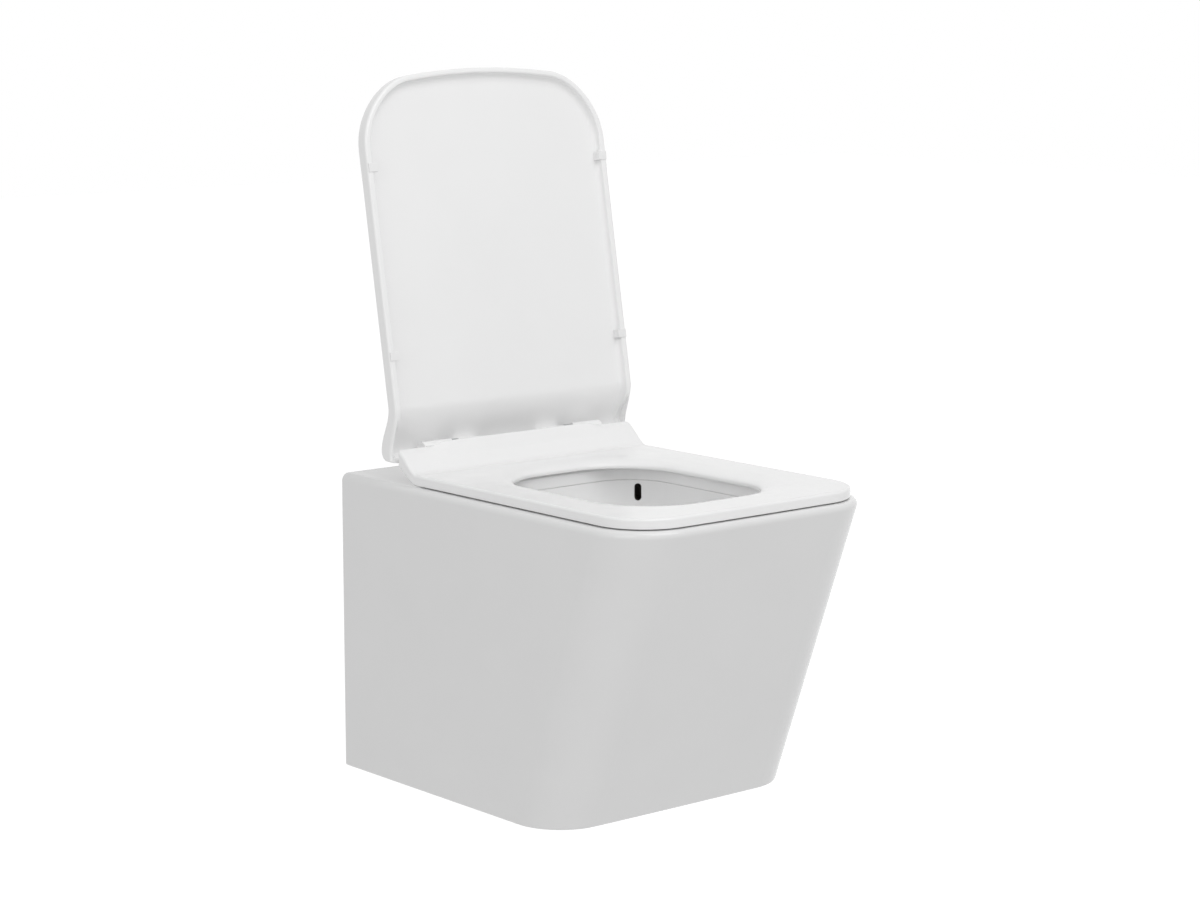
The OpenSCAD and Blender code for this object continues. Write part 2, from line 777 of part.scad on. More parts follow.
module damper_housing(l, r) {
    difference() {
        cylinder(h = l, r = r);
        translate([0, 0, -1]) cylinder(h = end_wall + 2, r = pin_d / 2 + run_gap);
        translate([0, 0, end_wall]) cylinder(h = l - 2 * end_wall, r = r - damper_wall);
    }
}

module damper_rotor(l, r) {
    pivot_pin(end_wall + 3 * end_gap);
    translate([0, 0, end_wall + end_gap])
        cylinder(h = l - 2 * end_wall - 2 * end_gap, r = r - damper_wall - rest_gap);
}

module seat_pivot_pin() {
    color("silver") from_post(-barrel_x, -1) pivot_pin(seat_barrel_l - damper_wall);
}

module lid_pivot_pin() {
    color("silver") from_post(lid_barrel_x, -1) pivot_pin(lid_barrel_l - damper_wall);
}

module seat_bearing_bush() {
    color("whitesmoke") from_post(-barrel_x, -1) bearing_bush(seat_barrel_l, seat_damper_r);
}

module lid_bearing_bush() {
    color("whitesmoke") from_post(lid_barrel_x, -1) bearing_bush(lid_barrel_l, lid_damper_r);
}

module seat_damper_housing() {
    color("slategray") from_post(barrel_x, 1) damper_housing(seat_barrel_l, seat_damper_r);
}

module seat_damper_rotor() {
    color("silver") from_post(barrel_x, 1) damper_rotor(seat_barrel_l, seat_damper_r);
}

module lid_damper_housing() {
    color("slategray") from_post(-lid_barrel_x, 1) damper_housing(lid_barrel_l, lid_damper_r);
}

module lid_damper_rotor() {
    color("silver") from_post(-lid_barrel_x, 1) damper_rotor(lid_barrel_l, lid_damper_r);
}

module at_wall_holes(y) {
    on_both_sides() translate([fix_pitch / 2, y, 0]) rotate([90, 0, 0]) children();
}

module fixing_sleeves() {
    color("ivory") at_wall_holes(0) difference() {
        union() {
            cylinder(h = web_t + flange_t, r = fix_hole_d / 2 - 0.1);
            translate([0, 0, web_t]) cylinder(h = flange_t, r = fix_hole_d / 2 + flange_w);
        }
        translate([0, 0, -1]) cylinder(h = web_t + flange_t + 2, r = stud_hole_r);
    }
}

module fixing_washers() {
    color("silver") at_wall_holes(-web_t - flange_t) difference() {
        cylinder(h = washer_t, r = washer_d / 2);
        translate([0, 0, -1]) cylinder(h = washer_t + 2, r = stud_hole_r);
    }
}

module fixing_nuts() {
    color("silver") at_wall_holes(-web_t - flange_t - washer_t) difference() {
        cylinder(h = nut_t, r = nut_r, $fn = 6);
        translate([0, 0, -1]) cylinder(h = nut_t + 2, r = stud_d / 2);
    }
}

module fixing_caps() {
    color("whitesmoke") at_wall_holes(-web_t - flange_t - washer_t) difference() {
        cylinder(h = nut_t + cap_l, r = nut_r + rest_gap + cap_t);
        translate([0, 0, -1]) cylinder(h = nut_t + cap_l - cap_t + 1, r = nut_r + rest_gap);
    }
}

pan();
seat_ring();
lid();
seat_buffers();
lid_buffers();
hinge_bases();
hinge_post_left();
hinge_post_right();
hinge_grub_screws();
hinge_bolts();
expansion_bushes();
expansion_nuts();
seat_pivot_pin();
lid_pivot_pin();
seat_bearing_bush();
lid_bearing_bush();
seat_damper_housing();
seat_damper_rotor();
lid_damper_housing();
lid_damper_rotor();
fixing_sleeves();
fixing_washers();
fixing_nuts();
fixing_caps();
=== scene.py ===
import math
import bmesh
import bpy
from mathutils import Matrix, Vector


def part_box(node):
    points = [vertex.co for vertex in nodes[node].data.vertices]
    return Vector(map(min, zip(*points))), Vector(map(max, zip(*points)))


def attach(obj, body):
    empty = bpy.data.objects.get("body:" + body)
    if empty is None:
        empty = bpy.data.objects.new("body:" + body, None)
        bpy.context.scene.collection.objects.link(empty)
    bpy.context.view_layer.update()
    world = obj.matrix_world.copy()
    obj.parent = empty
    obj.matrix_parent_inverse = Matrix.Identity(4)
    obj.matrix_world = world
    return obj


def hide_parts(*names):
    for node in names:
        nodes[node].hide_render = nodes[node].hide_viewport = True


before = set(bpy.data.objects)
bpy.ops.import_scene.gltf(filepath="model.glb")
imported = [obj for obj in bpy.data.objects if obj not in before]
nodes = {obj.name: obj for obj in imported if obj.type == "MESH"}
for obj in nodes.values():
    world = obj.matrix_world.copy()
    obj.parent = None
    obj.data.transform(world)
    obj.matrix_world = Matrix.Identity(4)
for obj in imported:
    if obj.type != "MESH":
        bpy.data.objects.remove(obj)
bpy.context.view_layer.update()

# Pan
# One slip cast piece of vitreous china: skin, rim, bowl, trap and connections are joined while the
# clay is wet, and the whole is sprayed with white glaze and fired once. The inside of the hollow
# casting and the face that is ground flat against the wall stay bare fired clay.
pan_low, pan_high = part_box("pan")
half_width = pan_high.x
underside = pan_low.z
deck = pan_high.z
reach_deck = 0.516
reach_foot = 0.381
corner_deck = 0.070
corner_foot = 0.060
corner_rear = 0.001
bow = 0.0015
rim_round = 0.009
foot_round = 0.003
rear_round = 0.0015
wall = 0.010
deck_thickness = 0.012
wall_plane = 0.0
behind_wall = 0.020
hair = 1e-5  # how far off a line a point may lie and still count as on it


def linear(code):
    """Linear colour of an sRGB hex code."""
    shares = [int(code[i:i + 2], 16) / 255 for i in (1, 3, 5)]
    return [s / 12.92 if s <= 0.04045 else ((s + 0.055) / 1.055) ** 2.4 for s in shares] + [1.0]


def add(tree, kind, inputs=None, **settings):
    """Adds a shader node: an input that is another node's socket is linked, any other is set."""
    node = tree.nodes.new("ShaderNode" + kind)
    for name, value in settings.items():
        setattr(node, name, value)
    for name, value in (inputs or {}).items():
        if isinstance(value, bpy.types.NodeSocket):
            tree.links.new(value, node.inputs[name])
        else:
            node.inputs[name].default_value = value
    return node


def new_material(name):
    """A node material with its Principled shader alone, and the object's coordinates."""
    material = bpy.data.materials.new(name)
    material.use_nodes = True
    tree = material.node_tree
    tree.nodes.clear()
    shader = add(tree, "BsdfPrincipled")
    add(tree, "OutputMaterial", {"Surface": shader.outputs[0]})
    return material, tree, shader, add(tree, "TexCoord").outputs["Object"]


def mottle(tree, place, size, first, second, detail=2.0):
    """A soft pattern of two hex colours or two numbers, in patches of a real size in metres."""
    noise = add(tree, "TexNoise", {"Vector": place, "Scale": 1 / size, "Detail": detail})
    if isinstance(first, str):
        # Inputs 6 and 7 of this node are its two colours, and output 2 is their mix
        colours = {"Factor": noise.outputs[0], 6: linear(first), 7: linear(second)}
        return add(tree, "Mix", colours, data_type="RGBA").outputs[2]
    # Nearly all of a noise lies between 0.3 and 0.7
    spread = {"Value": noise.outputs[0], "From Min": 0.3, "From Max": 0.7, "To Min": first, "To Max": second}
    return add(tree, "MapRange", spread).outputs[0]


def relief(tree, place, size, height, below=None):
    """Bump of a real height in metres over patches of a real size, on top of another bump."""
    noise = add(tree, "TexNoise", {"Vector": place, "Scale": 1 / size, "Detail": 1.0})
    inputs = {"Height": noise.outputs[0], "Distance": height}
    if below:
        inputs["Normal"] = below
    return add(tree, "Bump", inputs).outputs[0]


# White glaze over vitreous china, sprayed and fired: thick, glossy and softly uneven, so that
# reflections lie a little wavy, with a faint drift in its white.
china, tree, shader, place = new_material("sprayed_white_glaze")
tree.links.new(mottle(tree, place, 0.090, "#E5E5E5", "#E9E9E9"), shader.inputs["Base Color"])
tree.links.new(mottle(tree, place, 0.040, 0.16, 0.22), shader.inputs["Roughness"])
glaze_flow = relief(tree, place, 0.022, 0.00008)
tree.links.new(relief(tree, place, 0.004, 0.000006, glaze_flow), shader.inputs["Normal"])
shader.inputs["IOR"].default_value = 1.52

# Fired clay without glaze: matt, creamy, with the fine grit of the plaster mould.
# Such grit is usually about 0.3 mm, and is drawn as 1.5 mm so that it shows.
bare_clay, tree, shader, place = new_material("unglazed_fired_clay")
tree.links.new(mottle(tree, place, 0.030, "#E3DED3", "#ECE8DF", 4.0), shader.inputs["Base Color"])
tree.links.new(mottle(tree, place, 0.012, 0.78, 0.92), shader.inputs["Roughness"])
clay_lumps = relief(tree, place, 0.012, 0.0003)
tree.links.new(relief(tree, place, 0.0015, 0.0001, clay_lumps), shader.inputs["Normal"])
shader.inputs["IOR"].default_value = 1.5


def outline(bm, half, back, front, back_round, front_round, height, bulge=0.0, arc=12, along=8):
    """Level loop of edges: a rectangle with rounded corners, whose front edge may bulge."""
    earlier = set(bm.faces)
    spots = ((-half, front), (half, front), (half, back), (-half, back))
    corners = [bm.verts.new((x, y, height)) for x, y in spots]
    bm.faces.new(corners)
    for pair, radius in ((corners[:2], front_round), (corners[2:], back_round)):
        bmesh.ops.bevel(bm, geom=pair, offset=radius, offset_type="OFFSET", segments=arc, profile=0.5,
                        affect="VERTICES", material=-1)
    face = next(f for f in bm.faces if f not in earlier)
    foremost = [e for e in face.edges if max(v.co.y for v in e.verts) < front + hair]
    longest = max(foremost, key=lambda e: e.calc_length())
    bmesh.ops.subdivide_edges(bm, edges=[longest], cuts=along - 1)
    for v in face.verts:
        share = min(1, max(0, (front + front_round - v.co.y) / front_round))
        v.co.y -= bulge * share * (1 - (v.co.x / half) ** 2)
    loop = list(face.edges)
    bmesh.ops.delete(bm, geom=[face], context="FACES_ONLY")
    return loop


def loft(bm, loops, closed=True):
    """Skin from loop to loop, with a face over each end."""
    for lower, upper in zip(loops, loops[1:]):
        bmesh.ops.bridge_loops(bm, edges=lower + upper)
    if closed:
        for end in (loops[0], loops[-1]):
            bmesh.ops.edgeloop_fill(bm, edges=end)


def rounded(bm, edges, radius, segments=4):
    """Rounds edges to a radius, measured along the faces on both sides."""
    bmesh.ops.bevel(bm, geom=edges, offset=radius, offset_type="OFFSET", segments=segments, profile=0.5,
                    affect="EDGES", material=-1)


def whole(bm):
    """All that a mesh holds, for a cut right through it."""
    return bm.verts[:] + bm.edges[:] + bm.faces[:]


def solid(name, bm, *materials):
    """Closed mesh object from a bmesh, with its faces turned outwards."""
    bmesh.ops.recalc_face_normals(bm, faces=bm.faces)
    mesh = bpy.data.meshes.new(name)
    bm.to_mesh(mesh)
    bm.free()
    for material in materials:
        mesh.materials.append(material)
    made = bpy.data.objects.new(name, mesh)
    bpy.context.scene.collection.objects.link(made)
    return made


def quarter(steps):
    """Sines and cosines of a quarter turn."""
    angles = [i * math.pi / 2 / steps for i in range(steps + 1)]
    return [(math.sin(a), math.cos(a)) for a in angles]


def pan_loop(bm, height, inset):
    """The pan's outline at a height, drawn in by a distance."""
    rise = (height - underside) / (deck - underside)
    reach = reach_foot + (reach_deck - reach_foot) * rise
    corner = corner_foot + (corner_deck - corner_foot) * rise
    return outline(bm, half_width - inset, behind_wall, inset - reach, corner_rear, corner - inset, height,
                   bow, arc=20)


bm = bmesh.new()
rings = [pan_loop(bm, underside + foot_round * (1 - c), foot_round * (1 - s)) for s, c in quarter(4)]
rings += [pan_loop(bm, deck - rim_round * (1 - s), rim_round * (1 - c)) for s, c in quarter(6)]
loft(bm, rings)
bmesh.ops.bisect_plane(bm, geom=whole(bm), plane_co=(0, wall_plane, 0), plane_no=(0, 1, 0), clear_outer=True)
rear_edges = [e for e in bm.edges if e.is_boundary]
bmesh.ops.edgeloop_fill(bm, edges=rear_edges, mat_nr=1)
rounded(bm, rear_edges, rear_round, 3)
pan = solid("pan_shell", bm, china, bare_clay)

# Hollow of the pan
# The slip stands in the plaster mould until its wall has set, and the rest is poured out. An
# opening is then cut in the foot, through which a spanner reaches the nuts on the wall studs.
hollow_round = 0.006
access_margin = 0.025
access_half = half_width - wall - access_margin
access_depth = 0.125
access_round = 0.010
spare = 0.010  # how far a cutter runs out of the clay
overlap = 0.002  # how far shapes run into each other where they are joined or cut


def block(bm, low, high):
    """Box between two corners; returns its edges."""
    low, high = Vector(low), Vector(high)
    place = Matrix.Translation((low + high) / 2) @ Matrix.Diagonal((*(high - low), 1))
    made = bmesh.ops.create_cube(bm, size=1, matrix=place)["verts"]
    return list({e for v in made for e in v.link_edges})


def combine(target, operation, *tools):
    """Joins tools to the target, or cuts them out of it, and uses them up."""
    for tool in tools:
        step = target.modifiers.new("combine", "BOOLEAN")
        step.operation = operation
        step.solver = "MANIFOLD"
        step.material_mode = "TRANSFER"
        step.object = tool
    graph = bpy.context.evaluated_depsgraph_get()
    target.data = bpy.data.meshes.new_from_object(target.evaluated_get(graph))
    target.modifiers.clear()
    for tool in tools:
        bpy.data.objects.remove(tool)


bm = bmesh.new()
floor_loop = pan_loop(bm, underside + wall, wall)
roof_loop = pan_loop(bm, deck - deck_thickness, wall)
loft(bm, [floor_loop, roof_loop])
rounded(bm, floor_loop + roof_loop, hollow_round)
hollow = solid("hollow", bm, bare_clay)
bm = bmesh.new()
access_edges = block(bm, (-access_half, -access_depth, underside - spare),
                     (access_half, behind_wall, underside + wall + overlap))
upright = [e for e in access_edges if abs(e.verts[0].co.z - e.verts[1].co.z) > wall]
rounded(bm, upright, access_round, 6)
access = solid("access", bm, china)
combine(pan, "DIFFERENCE", hollow, access)

# Bowl
# Cast in a mould of its own and joined to the deck while wet: a rounded mouth, an upright band
# below it, a fine ledge where the band ends, and walls that fall smoothly to the sump.
mouth_half = 0.121
mouth_back = -0.166
mouth_front = -0.458
mouth_round_back = 0.055
mouth_round_front = 0.075
mouth_edge = 0.004
band_edge = 0.002
band_height = 0.016
ledge = 0.0006
ledge_z = deck - band_height
sump_y = -0.240
sump_radius = 0.030
sump_floor = underside + 0.035
floor_round = 0.012
bowl_thickness = 0.009
bowl_fall = 1.4
outside_levels = 20
inside_levels = 36

# Glaze inside the bowl: its white is painted light, drawn whiter than the china outside so that the shaded
# bowl reads bright. It is smoother, so that water runs off.
bowl_glaze_painted_light, tree, shader, place = new_material("bowl_glaze_brightened_as_painted_light")
tree.links.new(mottle(tree, place, 0.060, "#FAFAFA", "#FDFDFD"), shader.inputs["Base Color"])
tree.links.new(mottle(tree, place, 0.030, 0.20, 0.26), shader.inputs["Roughness"])
tree.links.new(relief(tree, place, 0.020, 0.00004), shader.inputs["Normal"])
shader.inputs["IOR"].default_value = 1.52


def mouth_loop(bm, out, height):
    """Outline of the bowl's mouth, grown by a distance."""
    return outline(bm, mouth_half + out, mouth_back + out, mouth_front - out, mouth_round_back + out,
                   mouth_round_front + out, height, arc=16, along=4)


def bowl_loop(bm, share, out, drop=0.0):
    """Outline of the bowl at a share of the way from its ledge down to its sump."""
    spread = math.cos(share * math.pi / 2) ** bowl_fall
    half, back, front, back_round, front_round = (
        low + (high - low) * spread
        for low, high in (
            (sump_radius, mouth_half + ledge),
            (sump_y + sump_radius, mouth_back + ledge),
            (sump_y - sump_radius, mouth_front - ledge),
            (sump_radius, mouth_round_back + ledge),
            (sump_radius, mouth_round_front + ledge)))
    height = ledge_z + (sump_floor - ledge_z) * share - drop
    return outline(bm, half + out, back + out, front - out, back_round + out, front_round + out, height,
                   arc=16, along=4)


bm = bmesh.new()
levels = [mouth_loop(bm, ledge + bowl_thickness, deck - deck_thickness / 2), bowl_loop(bm, 0, bowl_thickness)]
levels += [bowl_loop(bm, i / outside_levels, bowl_thickness, bowl_thickness * i / outside_levels)
           for i in range(1, outside_levels)]
loft(bm, levels)
bowl_outside = solid("bowl_outside", bm, bare_clay)

bm = bmesh.new()
levels = [mouth_loop(bm, mouth_edge, deck + overlap)]
levels += [mouth_loop(bm, mouth_edge * (1 - s), deck - mouth_edge * (1 - c)) for s, c in quarter(6)]
levels += [mouth_loop(bm, band_edge * (1 - c), ledge_z + band_edge * (1 - s)) for s, c in quarter(4)]
levels += [bowl_loop(bm, i / inside_levels, 0) for i in range(inside_levels)]
levels += [bowl_loop(bm, 1 - (floor_round - floor_round * s) / (ledge_z - sump_floor), floor_round * (c - 1))
           for s, c in quarter(5)[1:]]
loft(bm, levels)
# The bowl's inside takes the brightened glaze, painted light over the bowl's shade
bowl_inside = solid("bowl_inside", bm, bowl_glaze_painted_light)

# Trap and outlet
# A tube of the same clay climbs from the sump over the overflow, which holds the water in the
# bowl, and runs into the outlet spigot. The waste connector in the wall slides over the spigot.
trap_radius = 0.029
trap_thickness = 0.008
bend_radius = 0.040
trap_y = -0.195
trap_z = sump_floor + trap_radius
weir_z = -0.088
outlet_z = -0.100
spigot_radius = 0.051
spigot_start = -0.085
spigot_end = -0.005
spigot_round = 0.006
outlet_bore = 0.042
outlet_round = 0.003
outlet_flare = 0.002
trap_join = 0.004
trap_past = 0.001
flare_lead = 0.001
same_spot = 1e-6  # points nearer to each other than this are one


def along_wall(x, y, z):
    """Placing matrix whose Z axis runs out of the wall, towards the front."""
    return Matrix.Translation((x, y, z)) @ Matrix.Rotation(math.pi / 2, 4, "X")


def turned(bm, profile, place, steps=64):
    """Turns a profile of (radius, height) points about the Z axis of a placing matrix."""
    chain = [bm.verts.new(place @ Vector((r, 0, h))) for r, h in profile]
    line = [bm.edges.new(pair) for pair in zip(chain, chain[1:])]
    axis = place.to_3x3() @ Vector((0, 0, 1))
    bmesh.ops.spin(bm, geom=chain + line, cent=place.translation, axis=axis, angle=2 * math.pi,
                   steps=steps, use_merge=True)
    bmesh.ops.remove_doubles(bm, verts=bm.verts, dist=same_spot)


def rod(name, radius, place, length, material, round_far=0.0, flare=0.0):
    """Round bar along the axis of a place, with its far edge rounded or its near edge flared."""
    profile = [(0, 0), (radius, 0)]
    if flare:
        profile = [(0, -flare_lead), (radius + flare, -flare_lead), (radius + flare, 0), (radius, flare)]
    profile += [(radius - round_far * (1 - c), length - round_far * (1 - s)) for s, c in quarter(4)]
    profile.append((0, length))
    bm = bmesh.new()
    turned(bm, profile, place)
    return solid(name, bm, material)


def verts_among(geometry):
    """The vertices in what an operator returns."""
    return [g for g in geometry if isinstance(g, bmesh.types.BMVert)]


def edges_among(geometry):
    """The edges in what an operator returns."""
    return [g for g in geometry if isinstance(g, bmesh.types.BMEdge)]


def straight_on(bm, ring, move):
    """Extrudes a ring of edges by a vector and returns the far ring."""
    made = bmesh.ops.extrude_edge_only(bm, edges=ring)["geom"]
    fresh = set(verts_among(made))
    bmesh.ops.translate(bm, vec=move, verts=list(fresh))
    return [e for e in edges_among(made) if set(e.verts) <= fresh]


def bend(bm, ring, centre, angle):
    """Spins a ring of edges about an axis along X and returns the far ring."""
    made = bmesh.ops.spin(bm, geom=ring, cent=centre, axis=(1, 0, 0), angle=angle, steps=14)
    return edges_among(made["geom_last"])


def waterway(radius, end, material):
    """Tube of the trap from the sump to the spigot, with a bend up and a bend back to level."""
    bm = bmesh.new()
    bmesh.ops.create_circle(bm, radius=radius, segments=48, matrix=along_wall(0, sump_y, trap_z))
    ring = straight_on(bm, bm.edges[:], (0, trap_y - sump_y, 0))
    ring = bend(bm, ring, (0, trap_y, trap_z + bend_radius), math.pi / 2)
    ring = straight_on(bm, ring, (0, 0, weir_z - trap_z - 2 * bend_radius))
    ring = bend(bm, ring, (0, trap_y + 2 * bend_radius, weir_z - bend_radius), -math.pi / 2)
    straight_on(bm, ring, (0, end - trap_y - 2 * bend_radius, 0))
    bmesh.ops.holes_fill(bm, edges=bm.edges)
    return solid("waterway", bm, material)


outlet_place = along_wall(0, spigot_end, outlet_z)
spigot_length = spigot_end - spigot_start
trap_skin = waterway(trap_radius + trap_thickness, spigot_start + trap_join, bare_clay)
trap_bore = waterway(trap_radius, spigot_start + trap_thickness + trap_past, china)
spigot = rod("spigot", spigot_radius, outlet_place, spigot_length, bare_clay, spigot_round)
spigot_bore = rod("spigot_bore", outlet_bore, outlet_place, spigot_length - trap_thickness, china,
                  outlet_round, outlet_flare)

# Inlet and wall web
# A web of clay bears on the wall and takes the two studs. The flush pipe enters the inlet above
# them, and its neck feeds a slanting duct that ends in the long port below the bowl's band.
web_thickness = 0.016
web_foot = -0.035
web_round = 0.004
fixing_x = 0.090
fixing_hole = 0.010
fixing_reach = 0.060
inlet_z = 0.035
inlet_radius = 0.0275
inlet_depth = 0.055
inlet_wall = 0.009
inlet_round = 0.002
inlet_flare = 0.0015
boss_round = 0.004
neck_radius = inlet_radius - inlet_wall
neck_start = 0.010
neck_end = 0.020
neck_round = 0.006
neck_bore_round = 0.004
duct_radius = 0.011
duct_wall = 0.007
duct_apart = 0.009
hinge_x = 0.0775
hinge_y = -0.0875
seat_hole = 0.0075
seat_hole_drop = 0.030
seat_hole_length = 0.050
port_drop = 0.030
port_half_width = 0.004
port_shift = 0.006
port_round = 0.0009
port_lead = 0.004
port_sink = 0.0002
port_turn = math.radians(40)
port_centre = Vector((mouth_half - mouth_round_back, mouth_back - mouth_round_back, deck - port_drop))
port_way = Vector((math.cos(port_turn), math.sin(port_turn), 0))
port_wall = mouth_round_back + ledge - port_sink
duct_far = mouth_round_back + duct_apart + duct_radius
duct_start = Vector((0, -inlet_depth - neck_end, inlet_z))
duct_end = port_centre + duct_far * port_way
sharp_from = math.radians(35)

# Bare clay inside the duct and the port, darkened as painted shade so that the deep hollow reads black. Its
# grit is as on the other bare clay.
clay_painted_shade, tree, shader, place = new_material("unglazed_clay_painted_shade")
tree.links.new(mottle(tree, place, 0.020, "#4E4A45", "#5C5751"), shader.inputs["Base Color"])
tree.links.new(mottle(tree, place, 0.012, 0.45, 0.60), shader.inputs["Roughness"])
tree.links.new(relief(tree, place, 0.0015, 0.0001), shader.inputs["Normal"])
shader.inputs["IOR"].default_value = 1.5


def duct(grow, material):
    """Slanting duct from the neck to the flush port, with a ball at its far end."""
    way = duct_end - duct_start
    place = Matrix.Translation(duct_start) @ way.to_track_quat("Z", "Y").to_matrix().to_4x4()
    radius = duct_radius + grow
    ball = [(radius * c, way.length + radius * s) for s, c in quarter(8)]
    bm = bmesh.new()
    turned(bm, [(0, 0), (radius, 0)] + ball[:-1] + [(0, ball[-1][1])], place, 40)
    return solid("duct", bm, material)


def finished(made, body, node):
    """Shades a piece smoothly up to its sharp edges and puts it on its body, in a node's place."""
    for polygon in made.data.polygons:
        polygon.use_smooth = True
    made.data.set_sharp_from_angle(angle=sharp_from)
    weigh = made.modifiers.new("weighted_normals", "WEIGHTED_NORMAL")
    weigh.keep_sharp = True
    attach(made, body)
    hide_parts(node)


bm = bmesh.new()
web_edges = block(bm, (-half_width + wall / 2, -web_thickness, web_foot),
                  (half_width - wall / 2, wall_plane, deck - deck_thickness / 2))
foot_edge = [e for e in web_edges if all(v.co.z < 0 and v.co.y < -web_thickness / 2 for v in e.verts)]
rounded(bm, foot_edge, web_round)
web = solid("web", bm, bare_clay)
bm = bmesh.new()
block(bm, (-inlet_radius, -inlet_depth - inlet_wall + overlap, inlet_z + inlet_radius),
      (inlet_radius, wall_plane, deck - deck_thickness / 2))
saddle = solid("saddle", bm, bare_clay)
inlet_place = along_wall(0, wall_plane, inlet_z)
neck_length = -duct_start.y + duct_radius
boss = rod("boss", inlet_radius + inlet_wall, inlet_place, inlet_depth + inlet_wall, bare_clay, boss_round)
neck = rod("neck", neck_radius + duct_wall, inlet_place, neck_length + duct_wall, bare_clay, neck_round)
combine(pan, "UNION", bowl_outside, web, saddle, boss, neck, duct(duct_wall, bare_clay), trap_skin, spigot)

# The port is a slot with round ends and a rounded mouth, glazed at the bowl and bare behind it, where the
# bare clay is darkened as painted shade
bm = bmesh.new()
facing = Matrix.Rotation(port_turn - math.pi / 2, 4, "Z") @ Matrix.Rotation(math.pi / 2, 4, "X")
flare = [(port_round * (1 - s), port_round * (1 - c)) for s, c in quarter(5)]
rings = []
for grow, depth in [(port_round, -port_lead)] + flare + [(0, duct_far - port_wall)]:
    at = Matrix.Translation(port_centre + (port_wall + depth) * port_way) @ facing
    ring = bmesh.ops.create_circle(bm, radius=port_half_width + grow, segments=32, matrix=at)["verts"]
    for side in (-1, 1):
        half_ring = [v for v in ring if side * (v.co.z - port_centre.z) > -same_spot]
        bmesh.ops.translate(bm, vec=(0, 0, side * port_shift), verts=half_ring)
    rings.append(list({e for v in ring for e in v.link_edges}))
loft(bm, rings)
# Faces behind the rounded mouth take the clay that is darkened as painted shade
for face in bm.faces:
    if min((v.co - port_centre) @ port_way for v in face.verts) > port_wall + port_round / 2:
        face.material_index = 1
# The port's mouth takes the bowl's glaze, drawn whiter as painted light
port = solid("port", bm, bowl_glaze_painted_light, clay_painted_shade)

inlet_bore = rod("inlet_bore", inlet_radius, inlet_place, inlet_depth, bare_clay, inlet_round, inlet_flare)
neck_bore = rod("neck_bore", neck_radius, along_wall(0, -neck_start, inlet_z), neck_length - neck_start,
                china, neck_bore_round)
holes = [rod("fixing_hole", fixing_hole, along_wall(side * fixing_x, behind_wall, 0), fixing_reach, bare_clay)
         for side in (-1, 1)]
holes += [rod("seat_hole", seat_hole, Matrix.Translation((side * hinge_x, hinge_y, deck - seat_hole_drop)),
              seat_hole_length, china) for side in (-1, 1)]
# The duct's bore carries the clay darkened as painted shade into the pan
combine(pan, "DIFFERENCE", bowl_inside, trap_bore, spigot_bore, inlet_bore, neck_bore, duct(0, clay_painted_shade),
        port, *holes)
finished(pan, "pan_body", "pan")

# Wall fixing
# Plastic sleeves keep the two M12 studs of the wall frame off the china. A zinc plated washer and
# nut draw each side to the wall, and a pressed on plastic cap hides the stud's end.
flat_below = math.radians(1)
edge_from = math.radians(40)

# Polypropylene, injection moulded in a spark eroded mould: off-white and satin, with a fine grain.
# Such a grain is usually about 0.2 mm, and is drawn as 0.8 mm so that it shows.
polypropylene, tree, shader, place = new_material("moulded_polypropylene")
tree.links.new(mottle(tree, place, 0.008, "#E9E9E6", "#F0F0EE"), shader.inputs["Base Color"])
tree.links.new(mottle(tree, place, 0.005, 0.38, 0.48), shader.inputs["Roughness"])
tree.links.new(relief(tree, place, 0.0008, 0.00001), shader.inputs["Normal"])
shader.inputs["IOR"].default_value = 1.49

# Steel with a clear passivated zinc plate: bright grey with a faint blue and straw bloom.
# Its unevenness is far finer than 0.6 mm, and is drawn as coarse as that so that it shows.
zinc_plate, tree, shader, place = new_material("zinc_plated_steel")
tree.links.new(mottle(tree, place, 0.006, "#B9BEC4", "#C9C7BE"), shader.inputs["Base Color"])
tree.links.new(mottle(tree, place, 0.002, 0.28, 0.42), shader.inputs["Roughness"])
tree.links.new(relief(tree, place, 0.0006, 0.00001), shader.inputs["Normal"])
shader.inputs["Metallic"].default_value = 1.0


def eased(node, width, material, body):
    """Welded copy of a small solid, with the sharpness taken off its edges."""
    bm = bmesh.new()
    bm.from_mesh(nodes[node].data)
    bmesh.ops.remove_doubles(bm, verts=bm.verts, dist=same_spot)
    bmesh.ops.dissolve_limit(bm, angle_limit=flat_below, verts=bm.verts, edges=bm.edges)
    rounded(bm, [e for e in bm.edges if e.calc_face_angle(0) > edge_from], width, 2)
    for face in bm.faces:
        face.material_index = 0
    made = solid(node + "_eased", bm, material)
    finished(made, body, node)


eased("fixing_sleeves", 0.0004, polypropylene, "pan_body")
eased("fixing_washers", 0.0003, zinc_plate, "pan_body")
eased("fixing_nuts", 0.0005, zinc_plate, "pan_body")
eased("fixing_caps", 0.0008, polypropylene, "pan_body")

# Hinge fixing
# A steel bolt through each deck hole draws a brass nut up into a rubber bush, which swells and
# grips the china. Its chrome plated base plate takes the hinge post, held by a grub screw.

# Polished zinc casting with nickel and chrome plate: mirror bright, with a barely wavy surface.
chrome, tree, shader, place = new_material("nickel_chrome_plate")
tree.links.new(mottle(tree, place, 0.010, "#C4C6C8", "#D2D3D4"), shader.inputs["Base Color"])
tree.links.new(mottle(tree, place, 0.004, 0.10, 0.20), shader.inputs["Roughness"])
tree.links.new(relief(tree, place, 0.003, 0.00001), shader.inputs["Normal"])
shader.inputs["Metallic"].default_value = 1.0

# Compression moulded rubber: near black and dull, with a dusty grain.
# Such a grain is usually about 0.2 mm, and is drawn as 0.8 mm so that it shows.
rubber, tree, shader, place = new_material("moulded_black_rubber")
tree.links.new(mottle(tree, place, 0.006, "#2B2B2C", "#38383A"), shader.inputs["Base Color"])
tree.links.new(mottle(tree, place, 0.003, 0.55, 0.75), shader.inputs["Roughness"])
tree.links.new(relief(tree, place, 0.0008, 0.00004), shader.inputs["Normal"])

